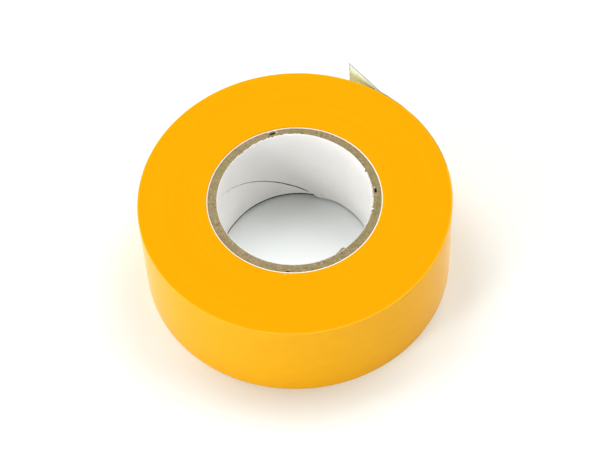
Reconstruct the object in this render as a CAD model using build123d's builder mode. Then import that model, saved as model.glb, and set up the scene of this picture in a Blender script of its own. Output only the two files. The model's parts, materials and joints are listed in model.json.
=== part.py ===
import os
from math import atan2, cos, degrees, floor, radians, sin

from build123d import *

# A roll of thin paper masking tape wound on a spiral paperboard tube.
# The roll stands on its end face: its axis is Z, and the origin is the point
# of the axis in the plane of the lower end face. Millimetres and degrees.

# ---- driving dimensions -----------------------------------------------------
tape_width = 18.0  # width of the strip, and so the height of the roll
tape_thickness = 0.08  # one layer of tape with its adhesive
roll_radius = 26.15  # outside of the last turn, at the free end of the strip

# paper tube, from the inside out
core_inner_radius = 12.94
liner_thickness = 0.06
board_thickness = 0.38
wrap_thickness = 0.15
core_bottom = 0.10  # the tube is cut a little shorter than the strip is wide
core_top = 17.75
liner_bottom = 0.35  # the liner paper stops short of the board's lower edge

# helical seams between the edges of each wound ply
seam_pitch = 54.8  # rise of a seam in one full turn, right-handed
liner_seam_gap = 0.15
ply_1_seam_gap = 0.10  # the edges of the innermost ply nearly touch
ply_2_seam_gap = 0.50
ply_3_seam_gap = 0.57
ply_4_seam_gap = 0.35
wrap_seam_gap = 0.15
liner_seam_azimuth = 190.9  # azimuth at which each seam meets the top plane
ply_1_seam_azimuth = 303.6
ply_2_seam_azimuth = 5.2
ply_3_seam_azimuth = 104.8
ply_4_seam_azimuth = 264.9
wrap_seam_azimuth = 48.0

# free end of the strip
tail_start = 10.0  # azimuth where the strip leaves the roll when it is peeled
tail_end = 52.0  # azimuth where the strip stops
tail_steps = 3  # lengths that the free end bends in
tail_clearance = 0.025  # layer of air left under the free end
tail_inset = 0.06  # the free end stays this far inside both end planes
yellow_end = 51.2  # azimuth of the cut edge of the tape over the film

# film pull tab
film_thickness = 0.07
film_root_end = 51.9
tab_length = 8.7
tab_direction = 128.2  # heading of the free tab, counter-clockwise from +X
tab_slant = 0.9  # the cut end leans, so the lower corner is this much shorter
tab_gap = 0.03


# ---- geometry shared by the pieces ------------------------------------------
def wind_radius(azimuth):
    """Outside radius of the strip at a winding azimuth up to tail_end + 360."""
    return roll_radius - tape_thickness * (tail_end + 360.0 - azimuth) / 360.0


def polar(radius, azimuth):
    """Point at a radius and azimuth in the plane of the winding."""
    return (radius * cos(radians(azimuth)), radius * sin(radians(azimuth)))


liner_outer = core_inner_radius + liner_thickness
ply_1_outer = liner_outer + board_thickness
ply_2_outer = ply_1_outer + board_thickness
ply_3_outer = ply_2_outer + board_thickness
ply_4_outer = ply_3_outer + board_thickness
core_outer_radius = ply_4_outer + wrap_thickness

seam_overrun = 2.0  # each seam cut runs this far past both ends of the tube
seam_rise = seam_pitch / 360.0


def seam_start(azimuth):
    """Height at azimuth 0 of a seam that meets the top plane at an azimuth."""
    height = tape_width - seam_rise * azimuth
    turns = floor((core_bottom - seam_overrun - height) / seam_pitch)
    return height + seam_pitch * turns


def tube_plane(azimuth, height):
    """Plane of a ply's lower end, turned so that X is well clear of a seam."""
    turned = radians(azimuth + 120.0)
    return Plane(
        origin=(0, 0, height),
        x_dir=(cos(turned), sin(turned), 0),
        z_dir=(0, 0, 1),
    )


def seam_plane(radius, azimuth):
    """Plane across a seam at azimuth 0, with X along the radius."""
    circumference = 2.0 * 3.141592653589793 * radius
    return Plane(
        origin=(radius, 0, seam_start(azimuth)),
        x_dir=(1, 0, 0),
        z_dir=(0, circumference, seam_pitch),
    )


# ---- the tube: liner, four board plies and the outer wrap --------------------
with BuildPart() as core_liner:
    with BuildSketch(tube_plane(liner_seam_azimuth, liner_bottom)):
        Circle(liner_outer)
        Circle(core_inner_radius, mode=Mode.SUBTRACT)
    extrude(amount=core_top - liner_bottom)
    mid = core_inner_radius + liner_thickness / 2
    with BuildLine() as liner_seam:
        Helix(
            pitch=seam_pitch,
            height=tape_width + seam_overrun - seam_start(liner_seam_azimuth),
            radius=mid,
            center=(0, 0, seam_start(liner_seam_azimuth)),
        )
    with BuildSketch(seam_plane(mid, liner_seam_azimuth)):
        Rectangle(liner_thickness + 0.3, liner_seam_gap)
    sweep(path=liner_seam.line, is_frenet=True, mode=Mode.SUBTRACT)

with BuildPart() as core_ply_1:
    with BuildSketch(tube_plane(ply_1_seam_azimuth, core_bottom)):
        Circle(ply_1_outer)
        Circle(liner_outer, mode=Mode.SUBTRACT)
    extrude(amount=core_top - core_bottom)
    mid = ply_1_outer - board_thickness / 2
    with BuildLine() as ply_1_seam:
        Helix(
            pitch=seam_pitch,
            height=tape_width + seam_overrun - seam_start(ply_1_seam_azimuth),
            radius=mid,
            center=(0, 0, seam_start(ply_1_seam_azimuth)),
        )
    with BuildSketch(seam_plane(mid, ply_1_seam_azimuth)):
        Rectangle(board_thickness + 0.3, ply_1_seam_gap)
    sweep(path=ply_1_seam.line, is_frenet=True, mode=Mode.SUBTRACT)

with BuildPart() as core_ply_2:
    with BuildSketch(tube_plane(ply_2_seam_azimuth, core_bottom)):
        Circle(ply_2_outer)
        Circle(ply_1_outer, mode=Mode.SUBTRACT)
    extrude(amount=core_top - core_bottom)
    mid = ply_2_outer - board_thickness / 2
    with BuildLine() as ply_2_seam:
        Helix(
            pitch=seam_pitch,
            height=tape_width + seam_overrun - seam_start(ply_2_seam_azimuth),
            radius=mid,
            center=(0, 0, seam_start(ply_2_seam_azimuth)),
        )
    with BuildSketch(seam_plane(mid, ply_2_seam_azimuth)):
        Rectangle(board_thickness + 0.3, ply_2_seam_gap)
    sweep(path=ply_2_seam.line, is_frenet=True, mode=Mode.SUBTRACT)

with BuildPart() as core_ply_3:
    with BuildSketch(tube_plane(ply_3_seam_azimuth, core_bottom)):
        Circle(ply_3_outer)
        Circle(ply_2_outer, mode=Mode.SUBTRACT)
    extrude(amount=core_top - core_bottom)
    mid = ply_3_outer - board_thickness / 2
    with BuildLine() as ply_3_seam:
        Helix(
            pitch=seam_pitch,
            height=tape_width + seam_overrun - seam_start(ply_3_seam_azimuth),
            radius=mid,
            center=(0, 0, seam_start(ply_3_seam_azimuth)),
        )
    with BuildSketch(seam_plane(mid, ply_3_seam_azimuth)):
        Rectangle(board_thickness + 0.3, ply_3_seam_gap)
    sweep(path=ply_3_seam.line, is_frenet=True, mode=Mode.SUBTRACT)

with BuildPart() as core_ply_4:
    with BuildSketch(tube_plane(ply_4_seam_azimuth, core_bottom)):
        Circle(ply_4_outer)
        Circle(ply_3_outer, mode=Mode.SUBTRACT)
    extrude(amount=core_top - core_bottom)
    mid = ply_4_outer - board_thickness / 2
    with BuildLine() as ply_4_seam:
        Helix(
            pitch=seam_pitch,
            height=tape_width + seam_overrun - seam_start(ply_4_seam_azimuth),
            radius=mid,
            center=(0, 0, seam_start(ply_4_seam_azimuth)),
        )
    with BuildSketch(seam_plane(mid, ply_4_seam_azimuth)):
        Rectangle(board_thickness + 0.3, ply_4_seam_gap)
    sweep(path=ply_4_seam.line, is_frenet=True, mode=Mode.SUBTRACT)

with BuildPart() as core_wrap:
    with BuildSketch(tube_plane(wrap_seam_azimuth, core_bottom)):
        Circle(core_outer_radius)
        Circle(ply_4_outer, mode=Mode.SUBTRACT)
    extrude(amount=core_top - core_bottom)
    mid = core_outer_radius - wrap_thickness / 2
    with BuildLine() as wrap_seam:
        Helix(
            pitch=seam_pitch,
            height=tape_width + seam_overrun - seam_start(wrap_seam_azimuth),
            radius=mid,
            center=(0, 0, seam_start(wrap_seam_azimuth)),
        )
    with BuildSketch(seam_plane(mid, wrap_seam_azimuth)):
        Rectangle(wrap_thickness + 0.3, wrap_seam_gap)
    sweep(path=wrap_seam.line, is_frenet=True, mode=Mode.SUBTRACT)

# ---- the wound strip ----------------------------------------------------------
# The outline is the last turn of the spiral. Between tail_start and tail_end the
# last turn is the free end, so the pack is one layer lower there.
turn_start = tail_end  # the free end's own tip lies above this azimuth
turn_end = tail_start + 360.0
wound_arcs = 6
with BuildPart() as tape_pack:
    with BuildSketch():
        with BuildLine():
            step = (turn_end - turn_start) / wound_arcs
            for i in range(wound_arcs):
                a = turn_start + i * step
                ThreePointArc(
                    polar(wind_radius(a), a),
                    polar(wind_radius(a + step / 2), a + step / 2),
                    polar(wind_radius(a + step), a + step),
                )
            Line(
                polar(wind_radius(turn_end), turn_end),
                polar(wind_radius(turn_end) - tape_thickness, turn_end),
            )
            a = turn_end
            b = tail_end + 360.0
            ThreePointArc(
                polar(wind_radius(a) - tape_thickness, a),
                polar(wind_radius((a + b) / 2) - tape_thickness, (a + b) / 2),
                polar(wind_radius(turn_start), turn_start),
            )
        make_face()
        Circle(core_outer_radius, mode=Mode.SUBTRACT)
    extrude(amount=tape_width)

# ---- the free end of the strip -------------------------------------------------
tail_step = (tail_end - tail_start) / tail_steps
tail_height = tape_width - 2 * tail_inset


def tail_under(azimuth):
    """Inside radius of the free end, just clear of the turn below."""
    return wind_radius(azimuth + 360.0) - tape_thickness + tail_clearance


tail_1_a = tail_start
tail_1_b = tail_start + tail_step
with BuildPart() as tape_end_1:
    with BuildSketch(Plane.XY.offset(tail_inset)):
        with BuildLine():
            a, b = tail_1_a, tail_1_b
            m = (a + b) / 2
            ThreePointArc(
                polar(wind_radius(a + 360), a),
                polar(wind_radius(m + 360), m),
                polar(wind_radius(b + 360), b),
            )
            Line(polar(wind_radius(b + 360), b), polar(tail_under(b), b))
            ThreePointArc(
                polar(tail_under(b), b),
                polar(tail_under(m), m),
                polar(tail_under(a), a),
            )
            Line(polar(tail_under(a), a), polar(wind_radius(a + 360), a))
        make_face()
    extrude(amount=tail_height)

tail_2_a = tail_1_b
tail_2_b = tail_1_b + tail_step
with BuildPart() as tape_end_2:
    with BuildSketch(Plane.XY.offset(tail_inset)):
        with BuildLine():
            a, b = tail_2_a, tail_2_b
            m = (a + b) / 2
            ThreePointArc(
                polar(wind_radius(a + 360), a),
                polar(wind_radius(m + 360), m),
                polar(wind_radius(b + 360), b),
            )
            Line(polar(wind_radius(b + 360), b), polar(tail_under(b), b))
            ThreePointArc(
                polar(tail_under(b), b),
                polar(tail_under(m), m),
                polar(tail_under(a), a),
            )
            Line(polar(tail_under(a), a), polar(wind_radius(a + 360), a))
        make_face()
    extrude(amount=tail_height)

# The last length lies on the film, so it is raised by the film's thickness.
with BuildPart() as tape_end_3:
    with BuildSketch(Plane.XY.offset(tail_inset)):
        with BuildLine():
            a, b = tail_2_b, yellow_end
            m = (a + b) / 2
            lift = film_thickness
            ThreePointArc(
                polar(wind_radius(a + 360) + lift, a),
                polar(wind_radius(m + 360) + lift, m),
                polar(wind_radius(b + 360) + lift, b),
            )
            Line(
                polar(wind_radius(b + 360) + lift, b),
                polar(tail_under(b) + lift, b),
            )
            ThreePointArc(
                polar(tail_under(b) + lift, b),
                polar(tail_under(m) + lift, m),
                polar(tail_under(a) + lift, a),
            )
            Line(
                polar(tail_under(a) + lift, a),
                polar(wind_radius(a + 360) + lift, a),
            )
        make_face()
    extrude(amount=tail_height)

# ---- the film pull tab ----------------------------------------------------------
# The stuck half follows the roll under the last length of tape.
film_a = tail_2_b
with BuildPart() as pull_tab_root:
    with BuildSketch(Plane.XY.offset(tail_inset)):
        with BuildLine():
            a, b, c = film_a, yellow_end, film_root_end
            m = (a + b) / 2
            ThreePointArc(
                polar(tail_under(a) + film_thickness, a),
                polar(tail_under(m) + film_thickness, m),
                polar(tail_under(b) + film_thickness, b),
            )
            Line(
                polar(tail_under(b) + film_thickness, b),
                polar(tail_under(c) + film_thickness, c),
            )
            Line(
                polar(tail_under(c) + film_thickness, c),
                polar(tail_under(c), c),
            )
            ThreePointArc(
                polar(tail_under(c), c),
                polar(tail_under((a + c) / 2), (a + c) / 2),
                polar(tail_under(a), a),
            )
            Line(
                polar(tail_under(a), a),
                polar(tail_under(a) + film_thickness, a),
            )
        make_face()
    extrude(amount=tail_height)

# The free half is a flat plate that stands off the roll.
root_x, root_y = polar(tail_under(tail_end), tail_end)
along = (cos(radians(tab_direction)), sin(radians(tab_direction)))
outward = (cos(radians(tab_direction - 90)), sin(radians(tab_direction - 90)))


def tab_point(distance, height):
    """Point of the tab, along it from its root and outward from its inner face."""
    return (
        root_x + distance * along[0] + height * outward[0],
        root_y + distance * along[1] + height * outward[1],
    )


tab_face = Plane(
    origin=(root_x, root_y, tail_inset),
    x_dir=(along[0], along[1], 0),
    z_dir=(outward[0], outward[1], 0),
)
with BuildPart() as pull_tab:
    with BuildSketch(tab_face):
        with BuildLine():
            Polyline(
                (tab_gap, 0),
                (tab_length - tab_slant, 0),
                (tab_length, tail_height),
                (tab_gap, tail_height),
                close=True,
            )
        make_face()
    extrude(amount=film_thickness)

# ---- hinge lines of the free end, on the outer corners of its lengths ------------
hinge_1 = polar(wind_radius(tail_1_a + 360), tail_1_a)
hinge_2 = polar(wind_radius(tail_2_a + 360), tail_2_a)
hinge_3 = polar(wind_radius(tail_2_b + 360) + film_thickness, tail_2_b)
hinge_tab = tab_point(tab_gap, film_thickness)
for title, point in (
    ("tape_peel_1", hinge_1),
    ("tape_peel_2", hinge_2),
    ("tape_peel_3", hinge_3),
    ("tab_lift", hinge_tab),
):
    print(title, round(point[0], 4), round(point[1], 4),
          "azimuth", round(degrees(atan2(point[1], point[0])), 3))

# ---- write the pieces ------------------------------------------------------------
os.makedirs("parts", exist_ok=True)

core_liner.part.label = "core_liner"
export_step(core_liner.part, "parts/core_liner.step")
core_ply_1.part.label = "core_ply_1"
export_step(core_ply_1.part, "parts/core_ply_1.step")
core_ply_2.part.label = "core_ply_2"
export_step(core_ply_2.part, "parts/core_ply_2.step")
core_ply_3.part.label = "core_ply_3"
export_step(core_ply_3.part, "parts/core_ply_3.step")
core_ply_4.part.label = "core_ply_4"
export_step(core_ply_4.part, "parts/core_ply_4.step")
core_wrap.part.label = "core_wrap"
export_step(core_wrap.part, "parts/core_wrap.step")
tape_pack.part.label = "tape_pack"
export_step(tape_pack.part, "parts/tape_pack.step")
tape_end_1.part.label = "tape_end_1"
export_step(tape_end_1.part, "parts/tape_end_1.step")
tape_end_2.part.label = "tape_end_2"
export_step(tape_end_2.part, "parts/tape_end_2.step")
tape_end_3.part.label = "tape_end_3"
export_step(tape_end_3.part, "parts/tape_end_3.step")
pull_tab_root.part.label = "pull_tab_root"
export_step(pull_tab_root.part, "parts/pull_tab_root.step")
pull_tab.part.label = "pull_tab"
export_step(pull_tab.part, "parts/pull_tab.step")
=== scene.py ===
import json
import math

import bpy
import numpy as np
from mathutils import Matrix, Vector


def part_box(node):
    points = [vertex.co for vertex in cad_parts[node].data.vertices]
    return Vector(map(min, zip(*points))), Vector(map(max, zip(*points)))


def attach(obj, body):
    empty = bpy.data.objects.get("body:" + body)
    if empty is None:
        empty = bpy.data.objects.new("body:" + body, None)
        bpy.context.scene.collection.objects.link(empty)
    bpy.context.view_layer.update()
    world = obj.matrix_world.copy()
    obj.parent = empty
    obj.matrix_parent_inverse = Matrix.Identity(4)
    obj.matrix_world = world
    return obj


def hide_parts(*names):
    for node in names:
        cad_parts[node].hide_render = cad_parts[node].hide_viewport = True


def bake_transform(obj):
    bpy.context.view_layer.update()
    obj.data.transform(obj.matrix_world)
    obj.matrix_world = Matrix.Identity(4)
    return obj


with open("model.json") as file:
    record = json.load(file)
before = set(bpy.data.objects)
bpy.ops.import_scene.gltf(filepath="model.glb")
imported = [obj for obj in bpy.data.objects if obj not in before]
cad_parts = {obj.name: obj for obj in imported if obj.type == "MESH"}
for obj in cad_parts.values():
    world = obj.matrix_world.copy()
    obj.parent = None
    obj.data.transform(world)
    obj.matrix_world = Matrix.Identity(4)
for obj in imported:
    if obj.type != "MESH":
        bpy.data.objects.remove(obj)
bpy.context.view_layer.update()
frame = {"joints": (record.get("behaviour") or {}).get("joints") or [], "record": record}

MM = 0.001
record = frame["record"]
joints = {j["name"]: j for j in frame["joints"]}
scene = bpy.context.scene

# ---------------------------------------------------------------------------
# camera, first
# ---------------------------------------------------------------------------
ELEVATION = math.radians(56.584)
ROLL = math.radians(-3.125)
back = Vector((0.0, -math.cos(ELEVATION), math.sin(ELEVATION)))
right = Vector((1.0, 0.0, 0.0))
up = back.cross(right)
cam_x = math.cos(ROLL) * right + math.sin(ROLL) * up
cam_y = -math.sin(ROLL) * right + math.cos(ROLL) * up
cam_data = bpy.data.cameras.new("camera")
cam_data.sensor_width = 36.0
cam_data.lens = 124.53
cam_data.clip_start, cam_data.clip_end = 0.01, 20.0
cam = bpy.data.objects.new("camera", cam_data)
scene.collection.objects.link(cam)
rotation = Matrix((cam_x, cam_y, back)).transposed().to_4x4()
cam.matrix_world = Matrix.Translation((0.679 * MM, -193.638 * MM, 303.294 * MM)) @ rotation
scene.camera = cam

# ---------------------------------------------------------------------------
# sizes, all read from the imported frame, in millimetres
# ---------------------------------------------------------------------------
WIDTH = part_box("tape_pack")[1].z / MM
CORE_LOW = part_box("core_ply_1")[0].z / MM
CORE_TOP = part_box("core_ply_1")[1].z / MM
LINER_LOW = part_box("core_liner")[0].z / MM
BORE = next(m for m in record["mounts"] if m["name"] == "core_bore")["dims"]["r_mm"]
RINGS = [BORE] + [
    (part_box(n)[1].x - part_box(n)[0].x) / 2 / MM
    for n in ("core_liner", "core_ply_1", "core_ply_2", "core_ply_3", "core_ply_4", "core_wrap")
]
TAIL_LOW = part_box("tape_end_1")[0].z / MM
TAIL_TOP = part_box("tape_end_1")[1].z / MM
THICK = 0.08
FILM = 0.07


def azimuth_of(p):
    return math.degrees(math.atan2(p[1], p[0]))


A1 = azimuth_of(joints["tape_peel_1"]["pos_m"])
A2 = azimuth_of(joints["tape_peel_2"]["pos_m"])
A3 = azimuth_of(joints["tape_peel_3"]["pos_m"])
R_A1 = math.hypot(*joints["tape_peel_1"]["pos_m"][:2]) / MM
TAIL_END = 52.0


def wind(azimuth):
    """Outside radius of the strip, counted on from the azimuth where the free end starts."""
    return R_A1 + THICK * (np.asarray(azimuth, float) - A1) / 360.0


def swell(azimuth):
    """The last turn has been picked at, and stands a little slack where the free end leaves."""
    az = (np.asarray(azimuth, float) + 180.0) % 360.0 - 180.0
    return 0.06 * smooth_step(az, -16.0, 6.0) * (1.0 - smooth_step(az, 33.0, 45.0))


# ---------------------------------------------------------------------------
# helpers
# ---------------------------------------------------------------------------
def ring_noise(degrees, seed, low, high, count=24):
    """Smooth noise round a circle, about -1 to 1, with whole waves only."""
    rng = np.random.default_rng(seed)
    k = rng.integers(low, high + 1, count)
    phase = rng.uniform(0, 2 * math.pi, count)
    size = rng.normal(size=count)
    size *= 0.7 / math.sqrt(0.5 * (size**2).sum())
    t = np.radians(np.asarray(degrees, float))[..., None]
    return (size * np.cos(k * t + phase)).sum(-1)


def plane_noise(x, y, seed, shortest, longest, count=48):
    """Smooth noise over the plane, with wavelengths in millimetres."""
    rng = np.random.default_rng(seed)
    wave = shortest * (longest / shortest) ** rng.uniform(0, 1, count)
    way = rng.uniform(0, 2 * math.pi, count)
    phase = rng.uniform(0, 2 * math.pi, count)
    kx, ky = 2 * math.pi / wave * np.cos(way), 2 * math.pi / wave * np.sin(way)
    total = np.zeros(np.shape(x))
    for a, b, p in zip(kx, ky, phase):
        total += np.cos(a * x + b * y + p)
    return total * (1.0 / math.sqrt(count / 2.0)) * 0.7


def bump_at(azimuth, centre, width):
    """A soft hump of height 1 about an azimuth."""
    gap = (np.asarray(azimuth, float) - centre + 180.0) % 360.0 - 180.0
    return np.exp(-((gap / width) ** 2))


def smooth_step(x, a, b):
    t = np.clip((np.asarray(x, float) - a) / (b - a), 0, 1)
    return t * t * (3 - 2 * t)


def mesh_object(name, points, faces, materials, indices=None, smooth=35.0, merge=0.0):
    """A mesh object from points in millimetres, merged where its sheets meet."""
    mesh = bpy.data.meshes.new(name)
    mesh.from_pydata((np.asarray(points, float) * MM).tolist(), [], faces)
    for m in materials:
        mesh.materials.append(m)
    if indices is not None:
        mesh.polygons.foreach_set("material_index", np.asarray(indices, np.int32))
    mesh.update()
    if merge:
        import bmesh

        bm = bmesh.new()
        bm.from_mesh(mesh)
        bmesh.ops.remove_doubles(bm, verts=bm.verts, dist=merge * MM)
        bmesh.ops.dissolve_degenerate(bm, edges=bm.edges, dist=1e-9)
        bmesh.ops.recalc_face_normals(bm, faces=bm.faces)
        bm.to_mesh(mesh)
        bm.free()
    mesh.shade_smooth()
    mesh.set_sharp_from_angle(angle=math.radians(smooth))
    obj = bpy.data.objects.new(name, mesh)
    scene.collection.objects.link(obj)
    return obj


class Sheets:
    """Collects grids of points and joins them into one list of faces."""

    def __init__(self):
        self.points, self.faces, self.slots, self.base = [], [], [], 0

    def add(self, grid, slot=0, wrap_u=False, wrap_v=False, flip=False):
        nu, nv = grid.shape[:2]
        index = np.arange(nu * nv).reshape(nu, nv) + self.base
        iu = np.arange(nu if wrap_u else nu - 1)
        iv = np.arange(nv if wrap_v else nv - 1)
        a = index[iu][:, iv]
        b = index[(iu + 1) % nu][:, iv]
        c = index[(iu + 1) % nu][:, (iv + 1) % nv]
        d = index[iu][:, (iv + 1) % nv]
        quads = np.stack([a, b, c, d] if not flip else [a, d, c, b], -1).reshape(-1, 4)
        self.points.append(grid.reshape(-1, 3))
        self.faces += quads.tolist()
        if np.ndim(slot) == 0:
            self.slots += [int(slot)] * len(quads)
        else:
            self.slots += np.tile(np.asarray(slot)[iv], len(iu)).astype(int).tolist()
        self.base += nu * nv

    def build(self, name, materials, **kw):
        return mesh_object(
            name, np.vstack(self.points), self.faces, materials, self.slots, **kw
        )


def cyl(r, degrees, z):
    t = np.radians(degrees)
    r, t, z = np.broadcast_arrays(r, t, z)
    return np.stack([r * np.cos(t), r * np.sin(t), z], -1)


# ---------------------------------------------------------------------------
# materials
# ---------------------------------------------------------------------------
def material(name):
    m = bpy.data.materials.new(name)
    m.use_nodes = True
    nt = m.node_tree
    nt.nodes.clear()
    out = nt.nodes.new("ShaderNodeOutputMaterial")
    bsdf = nt.nodes.new("ShaderNodeBsdfPrincipled")
    nt.links.new(bsdf.outputs["BSDF"], out.inputs["Surface"])
    return m, nt, bsdf


def node(nt, kind, **values):
    n = nt.nodes.new(kind)
    for k, v in values.items():
        if k in n.inputs:
            n.inputs[k].default_value = v
        else:
            setattr(n, k, v)
    return n


def math_node(nt, operation, a, b=None):
    n = nt.nodes.new("ShaderNodeMath")
    n.operation = operation
    for i, v in enumerate((a, b)):
        if v is None:
            continue
        if isinstance(v, (int, float)):
            n.inputs[i].default_value = v
        else:
            nt.links.new(v, n.inputs[i])
    return n.outputs[0]


def noise(nt, vector, scale, detail=4.0, rough=0.55, distortion=0.0):
    n = node(nt, "ShaderNodeTexNoise")
    n.inputs["Scale"].default_value = scale
    n.inputs["Detail"].default_value = detail
    n.inputs["Roughness"].default_value = rough
    n.inputs["Distortion"].default_value = distortion
    nt.links.new(vector, n.inputs["Vector"])
    return n.outputs["Fac"]


def ramp(nt, fac, stops, interpolation="LINEAR"):
    n = nt.nodes.new("ShaderNodeValToRGB")
    n.color_ramp.interpolation = interpolation
    el = n.color_ramp.elements
    while len(el) < len(stops):
        el.new(0.5)
    for e, (pos, col) in zip(el, stops):
        e.position = pos
        e.color = (*col, 1.0) if len(col) == 3 else col
    nt.links.new(fac, n.inputs["Fac"])
    return n.outputs["Color"]


def mix(nt, fac, a, b, blend="MIX"):
    n = nt.nodes.new("ShaderNodeMix")
    n.data_type = "RGBA"
    n.blend_type = blend
    for socket, v in ((n.inputs[0], fac), (n.inputs[6], a), (n.inputs[7], b)):
        if isinstance(v, (int, float)):
            socket.default_value = v
        elif isinstance(v, tuple):
            socket.default_value = (*v, 1.0)
        else:
            nt.links.new(v, socket)
    return n.outputs[2]


def map_range(nt, value, a, b, c=0.0, d=1.0, smooth=False):
    n = nt.nodes.new("ShaderNodeMapRange")
    n.clamp = True
    if smooth:
        n.interpolation_type = "SMOOTHSTEP"
    nt.links.new(value, n.inputs["Value"])
    for k, v in (("From Min", a), ("From Max", b), ("To Min", c), ("To Max", d)):
        n.inputs[k].default_value = v
    return n.outputs["Result"]


def bump(nt, height, strength, distance, normal=None):
    n = nt.nodes.new("ShaderNodeBump")
    n.inputs["Strength"].default_value = strength
    n.inputs["Distance"].default_value = distance
    nt.links.new(height, n.inputs["Height"])
    if normal is not None:
        nt.links.new(normal, n.inputs["Normal"])
    return n.outputs["Normal"]


def position(nt):
    """Object coordinates, their radius, height and azimuth."""
    tc = nt.nodes.new("ShaderNodeTexCoord")
    sep = nt.nodes.new("ShaderNodeSeparateXYZ")
    nt.links.new(tc.outputs["Object"], sep.inputs[0])
    x, y, z = sep.outputs
    r = math_node(
        nt, "SQRT", math_node(nt, "ADD", math_node(nt, "MULTIPLY", x, x), math_node(nt, "MULTIPLY", y, y))
    )
    azimuth = math_node(nt, "ARCTAN2", y, x)
    return tc.outputs["Object"], r, z, azimuth


def combine(nt, x, y, z):
    n = nt.nodes.new("ShaderNodeCombineXYZ")
    for socket, v in zip(n.inputs, (x, y, z)):
        if isinstance(v, (int, float)):
            socket.default_value = v
        else:
            nt.links.new(v, socket)
    return n.outputs[0]


def tape_face_material():
    """The wound edge of the strip: saturated, matt, with the fine line of every turn."""
    m, nt, bsdf = material("tape_wound_edge")
    obj, r, z, azimuth = position(nt)
    turns = math_node(
        nt,
        "SUBTRACT",
        math_node(nt, "MULTIPLY", r, 1.0 / (THICK * MM)),
        math_node(nt, "MULTIPLY", azimuth, 1.0 / (2 * math.pi)),
    )
    # unevenness from turn to turn: noise stretched along the winding
    depth = math_node(nt, "MULTIPLY", r, 1.0 / (THICK * MM))
    east = math_node(nt, "MULTIPLY", math_node(nt, "COSINE", azimuth), 0.8)
    north = math_node(nt, "MULTIPLY", math_node(nt, "SINE", azimuth), 0.8)
    band = noise(nt, combine(nt, math_node(nt, "MULTIPLY", depth, 0.11), east, north), 1.0, 3.0)
    fine = noise(nt, combine(nt, math_node(nt, "MULTIPLY", depth, 0.62), east, north), 1.0, 2.0)
    mottle = noise(nt, obj, 1900.0, 4.0)
    base = ramp(
        nt,
        band,
        [(0.30, TAPE_FACE_DARK), (0.52, TAPE_FACE), (0.75, TAPE_FACE_LIGHT)],
    )
    base = mix(nt, map_range(nt, fine, 0.35, 0.75, 0.0, 0.45), base, TAPE_FACE_DARK)
    base = mix(nt, map_range(nt, mottle, 0.58, 0.80, 0.0, 0.35), base, TAPE_FACE_LIGHT)
    # the line between one turn and the next
    line = math_node(nt, "ABSOLUTE", math_node(nt, "SINE", math_node(nt, "MULTIPLY", turns, math.pi)))
    base = mix(nt, map_range(nt, line, 0.20, 0.0, 0.0, 0.22), base, TAPE_LINE)
    # painted highlight: the outermost turns are painted a lighter, paler yellow towards the rim, for the light that
    # glows through the thin edge
    rim = map_range(nt, r, (R_A1 - 0.22) * MM, (R_A1 - 0.02) * MM, 0.0, 1.0, smooth=True)
    base = mix(nt, rim, base, TAPE_RIM_HIGHLIGHT)
    nt.links.new(base, bsdf.inputs["Base Color"])
    bsdf.inputs["Roughness"].default_value = 0.68
    bsdf.inputs["Specular IOR Level"].default_value = 0.02
    wave = math_node(nt, "SINE", math_node(nt, "MULTIPLY", turns, 2 * math.pi))
    height = math_node(nt, "ADD", math_node(nt, "MULTIPLY", wave, 0.35), math_node(nt, "MULTIPLY", fine, 1.2))
    nrm = bump(nt, height, 0.22, 0.010 * MM)
    nrm = bump(nt, noise(nt, obj, 2600.0, 3.0), 0.20, 0.02 * MM, nrm)
    nt.links.new(nrm, bsdf.inputs["Normal"])
    return m


def along(nt, obj, stretch):
    """The position squeezed in plan, so that noise on an upright wall runs long around it."""
    node = nt.nodes.new("ShaderNodeVectorMath")
    node.operation = "MULTIPLY"
    nt.links.new(obj, node.inputs[0])
    node.inputs[1].default_value = (stretch, stretch, 1.0)
    return node.outputs["Vector"]


def tape_side_material():
    """The backing of the strip: smooth thin paper with long fibres, glossy only at a grazing angle."""
    m, nt, bsdf = material("tape_backing")
    obj, r, z, azimuth = position(nt)
    arc = math_node(nt, "MULTIPLY", azimuth, R_A1 * MM)
    fibre = noise(nt, along(nt, obj, 0.16), 2300.0, 5.0, 0.6, 0.6)
    cloud = noise(nt, obj, 420.0, 4.0, 0.6)
    speck = noise(nt, obj, 2400.0, 2.0)
    base = mix(nt, map_range(nt, cloud, 0.35, 0.70), TAPE_SIDE, TAPE_SIDE_LIGHT)
    base = mix(nt, map_range(nt, fibre, 0.52, 0.80, 0.0, 0.35), base, TAPE_SIDE_LIGHT)
    base = mix(nt, map_range(nt, speck, 0.60, 0.85, 0.0, 0.22), base, TAPE_SIDE_DARK)
    # painted highlight: the backing is painted the lighter rim colour along its top edge, and half as strongly along
    # its foot
    edge = math_node(
        nt,
        "MAXIMUM",
        map_range(nt, z, (WIDTH - 0.24) * MM, (WIDTH - 0.02) * MM, 0.0, 1.0, smooth=True),
        map_range(nt, z, 0.25 * MM, 0.02 * MM, 0.0, 0.5, smooth=True),
    )
    base = mix(nt, edge, base, TAPE_RIM_HIGHLIGHT)
    nt.links.new(base, bsdf.inputs["Base Color"])
    bsdf.inputs["Specular IOR Level"].default_value = 0.04
    bsdf.inputs["Sheen Weight"].default_value = 0.47
    bsdf.inputs["Sheen Roughness"].default_value = 0.26
    bsdf.inputs["Sheen Tint"].default_value = (1.0, 1.0, 0.78, 1.0)
    rough = map_range(nt, cloud, 0.3, 0.7, 0.36, 0.46)
    nt.links.new(rough, bsdf.inputs["Roughness"])
    nrm = bump(nt, fibre, 0.30, 0.010 * MM)
    nrm = bump(nt, cloud, 0.20, 0.020 * MM, nrm)
    nt.links.new(nrm, bsdf.inputs["Normal"])
    return m


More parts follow.
